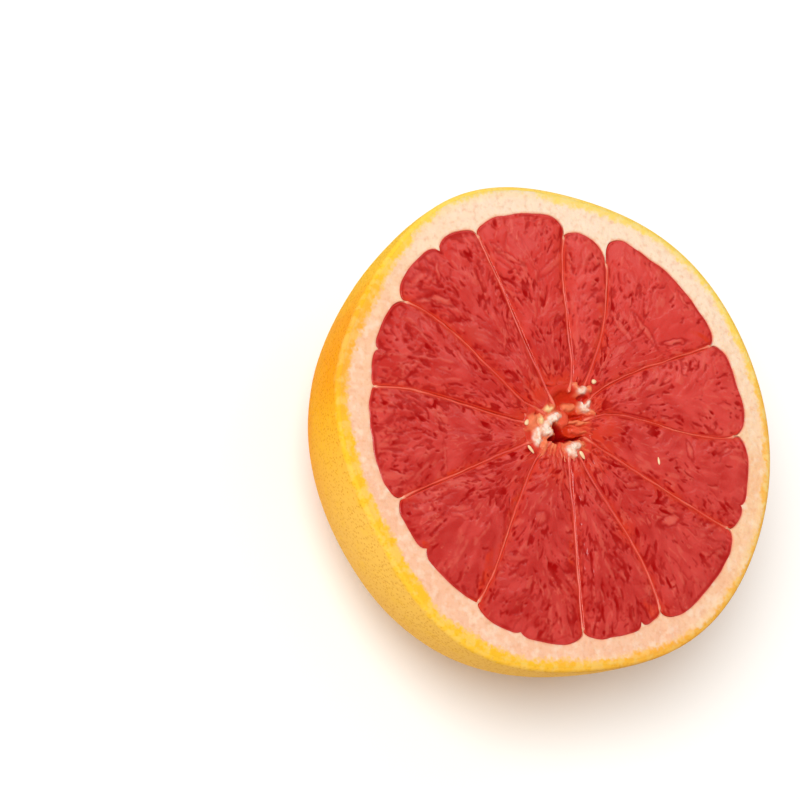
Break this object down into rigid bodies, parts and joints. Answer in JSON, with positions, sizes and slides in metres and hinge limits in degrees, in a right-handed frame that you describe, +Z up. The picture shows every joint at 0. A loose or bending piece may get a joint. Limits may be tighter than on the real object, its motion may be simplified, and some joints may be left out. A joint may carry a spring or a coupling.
{
  "type": "halved pink grapefruit",
  "caption": "Half of a pink grapefruit, cut across, lying on its rounded peel with the segmented juicy pulp facing up.",
  "frame": {"origin": "middle of the small flat spot that the fruit lies on, under the middle of the cut face", "axes": "+Z up, square to the cut face and out of it; +X and +Y lie along the cut face, which looks nearly the same all round"},
  "size_m": [0.1003, 0.0991, 0.0481],
  "materials": {
    "pulp": "wet translucent pinkish red flesh",
    "membrane": "thin moist pink skin between segments",
    "pith": "soft matt peach white pith",
    "peel": "waxy pored yellow orange skin"
  },
  "bodies": {
    "root": {"grapefruit_half": "pulp"}
  },
  "joints": []
}
